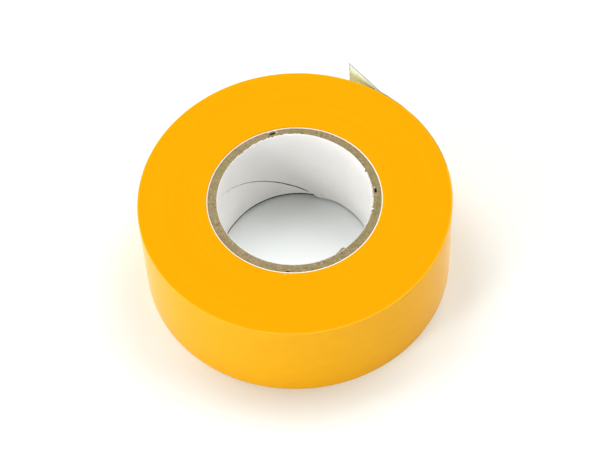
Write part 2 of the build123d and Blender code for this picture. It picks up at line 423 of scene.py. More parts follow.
def board_material(name="board_fibre", shade=1.0):
    """Recycled paperboard: grey-brown pulp with olive, pink and pale flecks. shade scales all of it darker, for
    copies that paint shade.
    """
    m, nt, bsdf = material(name)
    obj, r, z, azimuth = position(nt)
    clump = noise(nt, obj, 2900.0, 4.0, 0.68, 0.4)
    patch = noise(nt, obj, 520.0, 3.0, 0.6)
    tint = noise(nt, obj, 760.0, 2.0)
    grain = noise(nt, obj, 8200.0, 2.0, 0.7)

    def tone(red, green, blue):
        return (red * shade * 0.98, green * shade * 0.95, blue * shade * 0.90)

    base = ramp(
        nt,
        clump,
        [
            (0.27, tone(0.105, 0.083, 0.040)),
            (0.43, tone(0.235, 0.190, 0.098)),
            (0.56, tone(0.310, 0.252, 0.142)),
            (0.72, tone(0.500, 0.425, 0.270)),
        ],
    )
    base = mix(nt, map_range(nt, patch, 0.46, 0.60, 0.0, 0.50), base, tone(0.245, 0.225, 0.090))
    base = mix(nt, map_range(nt, tint, 0.50, 0.66, 0.0, 0.45), base, tone(0.375, 0.268, 0.180))
    base = mix(nt, map_range(nt, grain, 0.62, 0.78, 0.0, 0.55), base, tone(0.60, 0.53, 0.37))
    base = mix(nt, map_range(nt, grain, 0.36, 0.24, 0.0, 0.60), base, tone(0.075, 0.055, 0.030))
    nt.links.new(base, bsdf.inputs["Base Color"])
    bsdf.inputs["Roughness"].default_value = 0.94
    bsdf.inputs["Specular IOR Level"].default_value = 0.08
    nrm = bump(nt, clump, 0.50, 0.04 * MM)
    nrm = bump(nt, grain, 0.40, 0.02 * MM, nrm)
    nt.links.new(nrm, bsdf.inputs["Normal"])
    return m


def reddish_shade_material():
    """Near black, tinted reddish: painted shade at the bottom of one of the board's open seams."""
    m, nt, bsdf = material("reddish_painted_shade")
    obj, r, z, azimuth = position(nt)
    base = mix(nt, map_range(nt, noise(nt, obj, 3000.0, 3.0), 0.4, 0.6), (0.040, 0.008, 0.006), (0.016, 0.008, 0.008))
    nt.links.new(base, bsdf.inputs["Base Color"])
    bsdf.inputs["Roughness"].default_value = 0.9
    bsdf.inputs["Specular IOR Level"].default_value = 0.1
    return m


def paper_material(name, colour, dark, rough, mottled, height, painted_crease_shade=None):
    """White or cream paper with cloudy formation, fine fibres and a few darker specks."""
    m, nt, bsdf = material(name)
    obj, r, z, azimuth = position(nt)
    arc = math_node(nt, "MULTIPLY", azimuth, BORE * MM)
    cloud = noise(nt, obj, 260.0, 4.0, 0.6)
    fibre = noise(nt, along(nt, obj, 0.3), 2600.0, 4.0, 0.6, 0.8)
    speck = noise(nt, obj, 1500.0, 1.0)
    base = mix(nt, map_range(nt, cloud, 0.35, 0.70, 0.0, mottled), colour, dark)
    base = mix(nt, map_range(nt, fibre, 0.55, 0.80, 0.0, mottled), base, dark)
    base = mix(nt, map_range(nt, speck, 0.74, 0.80, 0.0, 0.25), base, (0.45, 0.40, 0.33))
    if painted_crease_shade:
        # painted shade of one short fold line in the paper: a dark line by the distance to a segment on the unrolled
        # wall
        (az1, z1), (az2, z2), wide = painted_crease_shade
        x1, y1 = math.radians(az1) * BORE * MM, z1 * MM
        x2, y2 = math.radians(az2) * BORE * MM, z2 * MM
        span = math.hypot(x2 - x1, y2 - y1)
        ux, uy = (x2 - x1) / span, (y2 - y1) / span
        dx, dy = math_node(nt, "SUBTRACT", arc, x1), math_node(nt, "SUBTRACT", z, y1)
        t = math_node(nt, "ADD", math_node(nt, "MULTIPLY", dx, ux), math_node(nt, "MULTIPLY", dy, uy))
        off = math_node(nt, "ABSOLUTE", math_node(nt, "SUBTRACT", math_node(nt, "MULTIPLY", dx, -uy), math_node(nt, "MULTIPLY", dy, -ux)))
        inside = math_node(nt, "MULTIPLY", map_range(nt, t, 0.0, 0.1 * span), map_range(nt, t, span, 0.9 * span))
        line = math_node(nt, "MULTIPLY", inside, map_range(nt, off, wide * MM, 0.4 * wide * MM))
        base = mix(nt, line, base, (0.30, 0.28, 0.23))
    nt.links.new(base, bsdf.inputs["Base Color"])
    bsdf.inputs["Roughness"].default_value = rough
    bsdf.inputs["Specular IOR Level"].default_value = 0.25
    nrm = bump(nt, fibre, 0.30, height)
    nrm = bump(nt, cloud, 0.25, height * 2.0, nrm)
    nt.links.new(nrm, bsdf.inputs["Normal"])
    return m


TAB_HEADING = 128.6
TAB_LENGTH = 8.75
TAB_SLANT = 0.9
TAB_PROUD = 0.15
TAB_RISE = 0.28


def film_material():
    """Thin translucent film, faintly green, with painted light and shade: a lighter, clearer band along its top, and
    below it a painted shadow of the roll's rim, khaki with painted yellow bounce and more opaque, towards its root.
    """
    m, nt, bsdf = material("pull_tab_film")
    obj, r, z, azimuth = position(nt)
    sep = nt.nodes.new("ShaderNodeSeparateXYZ")
    nt.links.new(obj, sep.inputs[0])
    way, root = math.radians(TAB_HEADING), math.radians(TAIL_END)
    # distance from the root along the tab, and depth below its top edge, in millimetres
    along_x = math_node(nt, "MULTIPLY", math_node(nt, "SUBTRACT", sep.outputs[0], R_A1 * MM * math.cos(root)), math.cos(way) / MM)
    along_y = math_node(nt, "MULTIPLY", math_node(nt, "SUBTRACT", sep.outputs[1], R_A1 * MM * math.sin(root)), math.sin(way) / MM)
    s = math_node(nt, "MAXIMUM", math_node(nt, "ADD", along_x, along_y), 0.0)
    depth = math_node(nt, "SUBTRACT", math_node(nt, "ADD", math_node(nt, "MULTIPLY", s, TAB_RISE / TAB_LENGTH), TAIL_TOP + TAB_PROUD), math_node(nt, "DIVIDE", z, MM))
    # painted shadow of the roll's rim: its edge lies deeper below the top edge the farther it is from the root, and
    # grows softer
    middle = math_node(nt, "ADD", math_node(nt, "MULTIPLY", s, 0.17), 0.30)
    spread = math_node(nt, "ADD", math_node(nt, "MULTIPLY", s, 0.10), 0.20)
    cloud = noise(nt, obj, 420.0, 4.0, 0.6)
    ragged = math_node(nt, "MULTIPLY", math_node(nt, "SUBTRACT", cloud, 0.5), 0.9)
    painted_rim_shadow = math_node(nt, "ADD", math_node(nt, "DIVIDE", math_node(nt, "SUBTRACT", depth, middle), spread), ragged)
    painted_rim_shadow = map_range(nt, painted_rim_shadow, -1.0, 1.0, 0.0, 1.0, smooth=True)
    # the painted yellow bounce in the shadow is strongest in the top 5 mm and fades to a paler tint lower down
    lower = map_range(nt, depth, 5.0, 14.0, 1.0, 0.0, smooth=True)
    streak = noise(nt, combine(nt, 0.0, math_node(nt, "MULTIPLY", z, 0.2), r), 1800.0, 3.0)
    base = mix(nt, lower, (0.80, 0.89, 0.64), (0.77, 0.91, 0.48))
    base = mix(nt, painted_rim_shadow, (0.80, 0.95, 0.72), base)
    base = mix(nt, map_range(nt, streak, 0.55, 0.8, 0.0, 0.30), base, (0.90, 0.96, 0.80))
    base = mix(nt, map_range(nt, cloud, 0.45, 0.75, 0.0, 0.30), base, (0.66, 0.74, 0.44))
    nt.links.new(base, bsdf.inputs["Base Color"])
    bsdf.inputs["Roughness"].default_value = 0.30
    bsdf.inputs["Specular IOR Level"].default_value = 0.45
    near = map_range(nt, s, 2.0, 8.75, 0.95, 0.66)
    thick = math_node(nt, "ADD", math_node(nt, "MULTIPLY", near, lower), math_node(nt, "MULTIPLY", math_node(nt, "SUBTRACT", 1.0, lower), 0.72))
    clear = map_range(nt, cloud, 0.3, 0.75, 0.38, 0.48)
    alpha = math_node(nt, "ADD", math_node(nt, "MULTIPLY", thick, painted_rim_shadow), math_node(nt, "MULTIPLY", clear, math_node(nt, "SUBTRACT", 1.0, painted_rim_shadow)))
    nt.links.new(alpha, bsdf.inputs["Alpha"])
    nt.links.new(bump(nt, cloud, 0.2, 0.02 * MM), bsdf.inputs["Normal"])
    return m


def film_edge_material():
    """The cut edge of the film, where it is seen through its whole width and so looks dark."""
    m, nt, bsdf = material("pull_tab_cut_edge")
    obj, r, z, azimuth = position(nt)
    cloud = noise(nt, obj, 1500.0, 3.0, 0.6)
    base = mix(nt, map_range(nt, cloud, 0.35, 0.7), (0.24, 0.27, 0.24), (0.32, 0.35, 0.31))
    nt.links.new(base, bsdf.inputs["Base Color"])
    bsdf.inputs["Roughness"].default_value = 0.45
    bsdf.inputs["Specular IOR Level"].default_value = 0.3
    return m


TAPE_FACE = (0.76, 0.335, 0.0006)
TAPE_FACE_DARK = (0.75, 0.327, 0.0004)
TAPE_FACE_LIGHT = (0.77, 0.343, 0.0012)
TAPE_LINE = (0.68, 0.270, 0.0004)
# painted highlight colour for the rim of the wound face and the edges of the backing
TAPE_RIM_HIGHLIGHT = (0.80, 0.430, 0.0300)
TAPE_SIDE = (0.806, 0.375, 0.0016)
TAPE_SIDE_LIGHT = (0.826, 0.400, 0.0040)
TAPE_SIDE_DARK = (0.782, 0.347, 0.0010)

mat_face = tape_face_material()
mat_side = tape_side_material()
mat_board = board_material()
# copies of the board darkened to paint shade: in gaps, and deep in gaps and on seam faces
mat_gap_painted_shade = board_material("board_painted_shade_in_gaps", 0.50)
mat_deep_painted_shade = board_material("board_painted_shade_in_deep_gaps", 0.13)
# near black board: painted shade behind the liner's open seam and down the board's seams
mat_seam_painted_shade = board_material("seam_painted_shade", 0.03)
mat_reddish_shade = reddish_shade_material()
mat_liner = paper_material("liner_paper", (0.89, 0.872, 0.855), (0.83, 0.81, 0.785), 0.62, 0.45, 0.006 * MM, painted_crease_shade=((69.5, 1.33), (66.1, 0.66), 0.032))
mat_wrap = paper_material("wrap_paper", (0.965, 0.930, 0.830), (0.89, 0.82, 0.69), 0.80, 0.45, 0.010 * MM)
mat_film = film_material()
mat_film_edge = film_edge_material()

# ---------------------------------------------------------------------------
# the wound strip
# ---------------------------------------------------------------------------
def face_relief(r, degrees, seed):
    """Height of an end face: turns that stand a few microns proud or low of their neighbours."""
    turn = (wind(degrees % 360.0 + 0.0) - r) / THICK
    rng = np.random.default_rng(seed)
    levels = rng.normal(size=400)
    levels = np.convolve(levels, [0.2, 0.6, 1.0, 0.6, 0.2], "same") * 0.5
    k = np.clip(turn, 0, 398)
    i = np.floor(k).astype(int)
    f = k - i
    f = f * f * (3 - 2 * f)
    relief = levels[i] * (1 - f) + levels[i + 1] * f
    slow = ring_noise(degrees, seed + 1, 1, 3, 6)
    return 0.0045 * relief + 0.004 * slow


def tape_roll():
    inner = RINGS[-1] + 0.004
    end = 360.0 + A1
    upper = np.linspace(TAIL_END, end, 330)
    lower = np.linspace(end + 0.015, TAIL_END + 360.0, 46)[:-1]
    az = np.concatenate([upper, lower])
    radius = np.concatenate([wind(upper), wind(lower) - THICK])
    radius = radius + 0.004 * ring_noise(az, 11, 2, 7, 10)
    radius[: len(upper)] += swell(upper) * (upper > 300.0)
    edge = 0.075
    corner = np.radians(np.linspace(0, 90, 5))
    share = np.linspace(0.0, 1.0, 74)[:-1]
    rows, slots = [], []

    def row(r, z, slot):
        rows.append((np.broadcast_to(r, az.shape).copy(), np.broadcast_to(z, az.shape).copy()))
        slots.append(slot)

    for z in np.linspace(0.06, WIDTH - 0.06, 5):
        row(inner, z, 0)
    for s in share:  # upper end face, outwards
        r = inner + 0.03 + (radius - edge - inner - 0.03) * s
        fade = min(1.0, (1 - s) * 12) * min(1.0, s * 20 + 0.2)
        row(r, WIDTH + face_relief(r, az, 21) * fade - (0.02 if s == 0 else 0.0), 0)
    for c in corner:
        row(radius - edge * (1 - math.sin(c)), WIDTH - edge * (1 - math.cos(c)), 0 if c < 0.8 else 1)
    for z in np.linspace(WIDTH - edge - 0.2, edge + 0.2, 17):
        row(radius + 0.0025 * ring_noise(az, 31 + int(z * 3), 5, 40, 16), z, 1)
    for c in corner[::-1]:
        row(radius - edge * (1 - math.sin(c)), edge * (1 - math.cos(c)), 1 if c > 0.8 else 0)
    for s in share[::-1]:
        r = inner + 0.03 + (radius - edge - inner - 0.03) * s
        fade = min(1.0, (1 - s) * 12) * min(1.0, s * 20 + 0.2)
        row(r, np.maximum(0.0, -face_relief(r, az, 22) * fade + 0.004) + (0.02 if s == 0 else 0.0), 0)
    grid = np.stack([cyl(r, az, z) for r, z in rows], 1)
    s = Sheets()
    s.add(grid, slot=np.array(slots), wrap_u=True, wrap_v=True, flip=True)
    roll = s.build("tape_roll", [mat_face, mat_side], smooth=50.0, merge=0.0)
    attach(roll, "roll")
    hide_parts("tape_pack")
    return roll


tape_roll()

# ---------------------------------------------------------------------------
# the paper tube: every ply is a strip wound in a right-handed helix
# ---------------------------------------------------------------------------
PITCH = 54.8
TURN_PER_MM = 360.0 / PITCH


def dense_ends(count, share, near):
    """Levels from 0 to 1 that stand closer together near both ends."""
    return np.concatenate(
        [
            np.linspace(0.0, share, near),
            np.linspace(share, 1.0 - share, count)[1:],
            np.linspace(1.0 - share, 1.0, near)[1:],
        ]
    )


def wound_tube(name, inner, outer, seam, gap, low, top, mats, nu, levels, nr, walls=0, fray=0.0, lift=None, opening=None):
    """A tube with a helical butt seam. low(azimuth, radius) and top(azimuth, radius) are its end surfaces; seam is the seam's azimuth at the top plane, and gap the seam's width on the end face. fray widens the seam at the top, lift(u, z) curls the wall inwards, and opening(z) scales the gap along the seam."""
    half = math.degrees(gap / 2 / outer)
    t = np.linspace(0.0, 1.0, nu)
    b = levels
    a = np.linspace(0.0, 1.0, nr)

    def place(tt, aa, bb):
        tt, aa, bb = np.broadcast_arrays(tt, aa, bb)
        z_flat = CORE_LOW + (CORE_TOP - CORE_LOW) * bb
        wide = half * (1.0 + fray * np.exp(-(CORE_TOP - z_flat) / 0.45))
        if opening is not None:
            wide = wide * opening(z_flat)
        uu = wide + (360.0 - 2 * wide) * tt
        azimuth = seam + uu + (z_flat - WIDTH) * TURN_PER_MM
        r = inner + (outer - inner) * aa
        if callable(lift):
            r = r - lift(uu, azimuth, z_flat)
        lo, hi = low(azimuth, r), top(azimuth, r)
        near_top, near_low = np.clip(bb * 6 - 5, 0, 1), np.clip(1 - bb * 6, 0, 1)
        z = z_flat + (hi - CORE_TOP) * near_top + (lo - CORE_LOW) * near_low
        return cyl(r, azimuth, z)

    s = Sheets()
    T, A, B = t[:, None], a[None, :], b[None, :]
    s.add(place(T, 0.0, B), slot=0)
    s.add(place(T, 1.0, B), slot=walls, flip=True)
    s.add(place(T, A, 1.0), slot=len(mats) - 1)
    s.add(place(T, A, 0.0), slot=len(mats) - 1, flip=True)
    s.add(place(t[0], a[:, None], b[None, :]), slot=walls)
    s.add(place(t[-1], a[:, None], b[None, :]), slot=walls, flip=True)
    obj = s.build(name, mats, smooth=40.0, merge=0.0002)
    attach(obj, "roll")
    return obj


def board_top(azimuth, r):
    x, y = r * np.cos(np.radians(azimuth)), r * np.sin(np.radians(azimuth))
    rough = plane_noise(x, y, 41, 0.20, 0.9, 44)
    inner_edge = np.exp(-(((r - RINGS[1]) / 0.10) ** 2)) * (0.3 + 0.7 * bump_at(azimuth, 112.0, 40.0))
    torn = np.clip(ring_noise(azimuth, 44, 60, 260, 50) - 0.25, 0, 1.4)
    crown = 0.10 - 0.15 * (r - RINGS[1]) / (RINGS[5] - RINGS[1])
    return CORE_TOP + crown + 0.022 * rough + 0.010 * ring_noise(azimuth, 43, 2, 9, 8) - 0.12 * torn * inner_edge


def board_low(azimuth, r):
    x, y = r * np.cos(np.radians(azimuth)), r * np.sin(np.radians(azimuth))
    return CORE_LOW + 0.014 * plane_noise(x, y, 47, 0.22, 1.1, 40) + 0.010 * ring_noise(azimuth, 49, 2, 9, 8)


def liner_spread(azimuth):
    """How far the liner's upper edge leans out over the board around the tube, in millimetres."""
    at = np.arange(0.0, 361.0, 15.0)
    out = [0.16, 0.13, 0.12, 0.11, 0.11, 0.22, 0.33, 0.21, 0.14, 0.0, 0.02, 0.0, 0.02, 0.05, 0.02, 0.05, 0.07, 0.09, 0.12, 0.14, 0.12, 0.03, 0.10, 0.16, 0.16]
    return np.interp(np.asarray(azimuth, float) % 360.0, at, out)


def liner_rise(azimuth):
    """The share of that spread that the edge takes by standing up instead, on its far side."""
    far = np.maximum(np.sin(np.radians(azimuth)), 0.0)
    return 0.62 * liner_spread(azimuth) * smooth_step(far, 0.25, 0.7)


def liner_top(azimuth, r):
    """The liner's upper edge is torn by the cut: level at the sides, and on one side it stands in ragged teeth above the board."""
    n = ring_noise(azimuth, 51, 40, 210, 60)
    m = ring_noise(azimuth, 54, 14, 60, 30)
    slow = ring_noise(azimuth, 52, 3, 11, 10)
    side = bump_at(azimuth, 116.0, 38.0)
    teeth = n * 0.7 + m * 0.6 + slow * 0.35
    cut = 0.24 * bump_at(azimuth, 21.7, 0.7) + 0.14 * bump_at(azimuth, -14.5, 0.6)
    return CORE_TOP + 0.12 + liner_rise(azimuth) + 0.010 * n + side * (0.06 + 0.15 * np.clip(teeth, -1.2, 1.2)) - cut


SEAM_FOOT = 190.9 - WIDTH * 360.0 / PITCH


def liner_low(azimuth, r):
    """The lower edge has a step at the foot of the seam, and climbs where a shred has torn off it."""
    rest = (np.asarray(azimuth, float) - SEAM_FOOT) % 360.0
    step = -0.02 * np.exp(-((rest / 60.0) ** 2)) - 0.25 * np.exp(-(((360.0 - rest) / 70.0) ** 2))
    torn = 0.66 * smooth_step(rest, 69.0, 86.0) * (1.0 - smooth_step(rest, 105.0, 125.0))
    return CORE_LOW + 0.42 + step + torn + 0.014 * ring_noise(azimuth, 53, 25, 140, 30)


def liner_lift(u, azimuth, z):
    """The paper waves slightly, and its corner at the foot of the seam curls off the board."""
    corner = smooth_step(u, 341.5, 359.0)
    foot = np.exp(-(np.maximum(z - LINER_LOW, 0.0) / 0.95) ** 1.5)
    spread = liner_spread(azimuth) - 0.67 * liner_rise(azimuth) * np.maximum(np.sin(np.radians(azimuth)), 0.0)
    flare = np.maximum(spread - 0.02, 0.0) * smooth_step(z, CORE_TOP - 0.01, CORE_TOP)
    return 0.34 * corner * foot + 0.003 + 0.003 * ring_noise(azimuth, 55, 2, 9, 8) - flare


def liner_opening(z):
    """Share of the seam's full width: widest near its foot, and closed to a hair higher up."""
    return np.interp(
        z,
        [0.35, 1.2, 2.0, 3.5, 5.5, 7.5, 9.5, 11.5, 13.5, 14.6, 17.75],
        [1.0, 1.0, 0.95, 0.74, 0.54, 0.42, 0.32, 0.24, 0.14, 0.05, 0.04],
    )


def gap_on_face(width):
    return width / math.sin(math.atan(PITCH / (2 * math.pi * 13.9)))


liner = wound_tube(
    "core_liner_paper", BORE + 0.008, RINGS[1] - 0.004, 190.9, gap_on_face(0.38),
    liner_low, liner_top, [mat_liner], 1000, dense_ends(20, 0.09, 12), 3,
    lift=liner_lift, opening=liner_opening,
)
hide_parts("core_liner")

# every ply's walls and seam faces take the board darkened to painted shade; only the cut ends take the plain board
for number, seam, gap, fray in ((1, 303.6, 0.05, 0.0), (2, 5.2, 0.40, 0.25), (3, 104.8, 0.42, 0.30), (4, 264.9, 0.20, 0.6)):
    ply = wound_tube(
        f"core_board_{number}", RINGS[number], RINGS[number + 1] - (0.014 if number == 4 else 0.004), seam, gap_on_face(gap),
        board_low, board_top, [mat_deep_painted_shade, mat_board], 1100, dense_ends(12, 0.05, 5), 7, fray=fray,
    )
    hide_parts(f"core_ply_{number}")


def wrap_top(azimuth, r):
    return CORE_TOP + 0.095 - 0.055 * np.sin(np.radians(azimuth)) + 0.014 * ring_noise(azimuth, 61, 20, 120, 30)


def wrap_low(azimuth, r):
    return CORE_LOW + 0.010 * ring_noise(azimuth, 63, 20, 120, 30)


wrap = wound_tube(
    "core_outer_wrap", RINGS[5] - 0.01, RINGS[6] - 0.002, 48.0, gap_on_face(0.03),
    wrap_low, wrap_top, [mat_wrap], 620, dense_ends(12, 0.05, 5), 4,
)
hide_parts("core_wrap")


# ---------------------------------------------------------------------------
# burrs that the cut left on the tube: curled paper corners, fluff and one torn lump of board
# ---------------------------------------------------------------------------
def curl(sheets, start, heading, length, width, rise, slot, thick=0.022, bend=0.0, point=0.35):
    """A small curled tongue of paper, closed all round. start is its root and heading its direction in degrees."""
    s = np.linspace(0.0, 1.0, 9)
    turn = np.radians(heading) + bend * s
    step = length / (len(s) - 1)
    x = start[0] + np.concatenate([[0.0], np.cumsum(np.cos(turn[:-1]) * step)])
    y = start[1] + np.concatenate([[0.0], np.cumsum(np.sin(turn[:-1]) * step)])
    z = start[2] + rise * s**1.6
    side = np.stack([-np.sin(turn), np.cos(turn), np.zeros_like(s)], -1)
    half = width / 2 * (1.0 - (1.0 - point) * s**1.5) * (1.0 + 0.12 * np.sin(9.0 * s + start[0]))
    middle = np.stack([x, y, z], -1)
    across = np.linspace(-1.0, 1.0, 5)
    crown = 0.15 * half[:, None] * (1 - across[None, :] ** 2)
    under = middle[:, None, :] + side[:, None, :] * (half[:, None] * across[None, :])[..., None]
    under[..., 2] += crown
    over = under.copy()
    over[..., 2] += thick
    sheets.add(over, slot)
    sheets.add(under, slot, flip=True)
    for k, flip in ((0, False), (-1, True)):
        sheets.add(np.stack([under[:, k], over[:, k]], 1), slot, flip=flip)
        sheets.add(np.stack([under[k], over[k]], 1), slot, flip=not flip)


def burrs():
    s = Sheets()
    top = CORE_TOP + 0.07

    def at(azimuth, r, z):
        return tuple(cyl(r, azimuth, z).tolist())

    # liner corners folded over the board
    edge = RINGS[1]
    curl(s, at(23.3, edge - 0.07, top + 0.02), 40.0, 0.30, 0.26, 0.03, 0, bend=0.3)
    curl(s, at(20.0, edge - 0.07, top + 0.02), 8.0, 0.30, 0.24, 0.03, 0, bend=-0.4)
    curl(s, at(-12.9, edge - 0.09, top + 0.03), -4.0, 0.44, 0.22, 0.04, 0, bend=0.2)
    curl(s, at(118.0, edge - 0.05, top + 0.03), 130.0, 0.20, 0.22, 0.03, 0)
    curl(s, at(136.0, edge - 0.06, top + 0.02), 150.0, 0.18, 0.20, 0.02, 0)
    curl(s, at(-83.0, edge - 0.07, top + 0.02), -70.0, 0.16, 0.20, 0.02, 0)
    # fluff beside the open seams
    curl(s, at(100.2, 13.98, top + 0.03), 330.0, 0.24, 0.16, 0.05, 0, bend=0.7)
    curl(s, at(99.8, 14.34, top + 0.03), 186.0, 0.62, 0.16, 0.05, 0, bend=0.2)
    curl(s, at(103.6, 14.38, top + 0.03), 200.0, 0.50, 0.12, 0.05, 0, bend=0.1)
    curl(s, at(106.2, 14.20, top + 0.03), 60.0, 0.34, 0.12, 0.04, 0, bend=0.6)
    curl(s, at(6.3, 13.50, top + 0.03), 282.0, 0.36, 0.14, 0.04, 0, bend=-0.3)
    curl(s, at(-98.4, 14.50, top + 0.02), 250.0, 0.62, 0.16, 0.24, 0, bend=0.5)
    curl(s, at(-95.0, 14.50, top + 0.02), 290.0, 0.52, 0.16, 0.24, 0, bend=-0.5)
    curl(s, at(-93.4, 14.52, top + 0.02), 300.0, 0.34, 0.12, 0.10, 0, bend=0.6)
    # a shred of liner that hangs from its lower edge on one side
    az = np.linspace(SEAM_FOOT + 69.0, SEAM_FOOT + 112.0, 80)
    share = (az - az[0]) / (az[-1] - az[0])
    tall = 0.10 + 0.55 * smooth_step(share, 0.0, 0.42) * (1.0 - smooth_step(share, 0.6, 1.0))
    away = 0.05 + 0.16 * np.sin(np.clip(share, 0, 1) * math.pi) ** 0.7
    foot = 0.045 + 0.01 * ring_noise(az, 95, 20, 80, 20)
    levels = np.linspace(0.0, 1.0, 6)[None, :]
    z = foot[:, None] + tall[:, None] * levels
    r_in = (BORE - away)[:, None] + (away * 0.8)[:, None] * levels**2
    inner = cyl(r_in, az[:, None], z)
    outer = cyl(r_in + 0.05, az[:, None], z)
    s.add(inner, 2)
    s.add(outer, 2, flip=True)
    s.add(np.stack([inner[:, -1], outer[:, -1]], 1), 2)
    s.add(np.stack([inner[:, 0], outer[:, 0]], 1), 2, flip=True)
    s.add(np.stack([inner[0], outer[0]], 0), 2)
    s.add(np.stack([inner[-1], outer[-1]], 0), 2, flip=True)
    # a lump of board pushed into the hole by the blade
    outline = [(-63.0, 13.02), (-61.0, 12.90), (-58.8, 12.80), (-56.8, 12.68), (-55.2, 12.57), (-54.2, 12.50), (-53.3, 12.56), (-52.8, 12.72), (-52.4, 12.90), (-52.0, 13.02)]
    edge_az = np.interp(np.linspace(0, 9, 46), range(10), [p[0] for p in outline])
    edge_r = np.interp(np.linspace(0, 9, 46), range(10), [p[1] for p in outline]) + 0.018 * ring_noise(np.linspace(0, 330, 46), 91, 6, 24, 14)
    share = np.linspace(0.0, 1.0, 7)[None, :]
    rr = edge_r[:, None] * (1 - share) + (edge + 0.06) * share
    aa = np.broadcast_to(edge_az[:, None], rr.shape)
    x, y = rr * np.cos(np.radians(aa)), rr * np.sin(np.radians(aa))
    relief = 0.02 * plane_noise(x, y, 92, 0.15, 0.6, 30)
    upper = cyl(rr, aa, top + 0.03 - 0.08 * (1 - share) ** 2 + relief)
    lower = cyl(rr + 0.05 * (1 - share), aa, top - 0.36 + 0.5 * relief)
    s.add(upper, 1)
    s.add(lower, 1, flip=True)
    s.add(np.stack([lower[:, 0], upper[:, 0]], 1), 1)
    s.add(np.stack([lower[:, -1], upper[:, -1]], 1), 1, flip=True)
    s.add(np.stack([lower[0], upper[0]], 0), 1)
    s.add(np.stack([lower[-1], upper[-1]], 0), 1, flip=True)
    curl(s, at(-54.0, 12.60, top - 0.03), 128.0, 0.14, 0.16, -0.03, 0, bend=0.5)
    piece = s.build("core_cut_burrs", [mat_wrap, mat_board, mat_liner], smooth=40.0, merge=0.0002)
    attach(piece, "roll")
    return piece


def seam_painted_shade():
    """A dark strip of painted shade behind the open liner seam, where the seam reads as a dark line."""
    z = np.linspace(LINER_LOW - 0.10, CORE_TOP - 0.05, 260)
    width = 0.68 * liner_opening(z) + 0.02
    around = np.degrees(width / BORE)[:, None] * np.linspace(-0.5, 0.5, 4)[None, :]
    azimuth = 190.9 + (z - WIDTH) * TURN_PER_MM
    front = cyl(RINGS[1] - 0.006, azimuth[:, None] + around, z[:, None] + 0 * around)
    back = cyl(RINGS[1] + 0.010, azimuth[:, None] + around, z[:, None] + 0 * around)
    s = Sheets()
    s.add(front, 0)
    s.add(back, 0, flip=True)
    for k, flip in ((0, True), (-1, False)):
        s.add(np.stack([front[:, k], back[:, k]], 1), 0, flip=flip)
        s.add(np.stack([front[k], back[k]], 0), 0, flip=flip)
    # dark plugs of painted shade a little way down the open seams of the board
    for number, seam, wide, slot in ((2, 5.2, 1.05, 1), (3, 104.8, 1.20, 0), (4, 264.9, 0.75, 0)):
        half = math.degrees(wide / 2 / RINGS[number])
        az = np.linspace(seam - half, seam + half, 9)[:, None] + (CORE_TOP - WIDTH) * TURN_PER_MM
        rr = np.linspace(RINGS[number] + 0.03, RINGS[number + 1] - 0.03, 4)[None, :]
        lid = cyl(rr + 0 * az, az + 0 * rr, CORE_TOP - 0.10 + 0 * az + 0 * rr)
        base = cyl(rr + 0 * az, az + 0 * rr, CORE_TOP - 0.60 + 0 * az + 0 * rr)
        s.add(lid, slot)
        s.add(base, slot, flip=True)
        for k, flip in ((0, True), (-1, False)):
            s.add(np.stack([base[k], lid[k]], 0), slot, flip=not flip)
            s.add(np.stack([base[:, k], lid[:, k]], 1), slot, flip=not flip)
    piece = s.build("core_seam_painted_shade", [mat_seam_painted_shade, mat_reddish_shade], smooth=40.0, merge=0.0002)
    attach(piece, "roll")
    return piece


seam_painted_shade()
burrs()

# ---------------------------------------------------------------------------
# the free end of the strip, in lengths split at the middles between the peel hinges
# ---------------------------------------------------------------------------
RAMP_FROM, RAMP_TO = 39.5, 44.0
YELLOW_END = 51.2


def tail_lift(azimuth):
    """The strip climbs on to the film near its end, and its last millimetres spring off a little."""
    return FILM * smooth_step(azimuth, RAMP_FROM, RAMP_TO) + 0.06 * smooth_step(azimuth, 46.0, YELLOW_END)


def tail_strip(name, a, b, first=False, last=False):
    az = np.linspace(a, b, max(8, int((b - a) / 0.30)))
    outer = wind(az) + THICK + swell(az) + tail_lift(az)
    if first:  # runs on over the wound strip by a hair, so that the backing is unbroken
        az = np.concatenate([[a - 0.30, a - 0.12], az])
        outer = np.concatenate([[outer[0] + 0.0015, outer[0] + 0.0030], outer + 0.0030 * (1.0 - smooth_step(az[2:], a, a + 6.0))])
    inner = outer - THICK + 0.012
    z = np.concatenate([[TAIL_LOW, TAIL_LOW + 0.02], np.linspace(TAIL_LOW + 0.2, TAIL_TOP - 0.2, 40), [TAIL_TOP - 0.02, TAIL_TOP]])
    round_off = np.array([0.018, 0.003] + [0.0] * 40 + [0.003, 0.018])
    cut = np.zeros((len(az), len(z)))
    if last:  # the end is cut by a toothed blade
        weight = np.clip((az - (b - 0.45)) / 0.45, 0, 1)[:, None]
        cut = -0.42 * weight * np.abs(((z / 1.5) % 1.0) * 2 - 1)[None, :]
    grid_out = cyl(outer[:, None] - round_off[None, :], az[:, None] + cut, z[None, :])
    grid_in = cyl(inner[:, None] + 0 * z[None, :], az[:, None] + cut, z[None, :])
    s = Sheets()
    s.add(grid_out, 0, flip=False)
    s.add(grid_in, 0, flip=True)
    for k, flip in ((0, True), (-1, False)):
        s.add(np.stack([grid_in[:, k], grid_out[:, k]], 1), 0, flip=not flip)
        s.add(np.stack([grid_in[k], grid_out[k]], 1), 0, flip=flip)
    return s.build(name, [mat_side], smooth=50.0, merge=0.0002)


def rim(azimuth):
    return cyl(R_A1, azimuth, WIDTH / 2) * MM


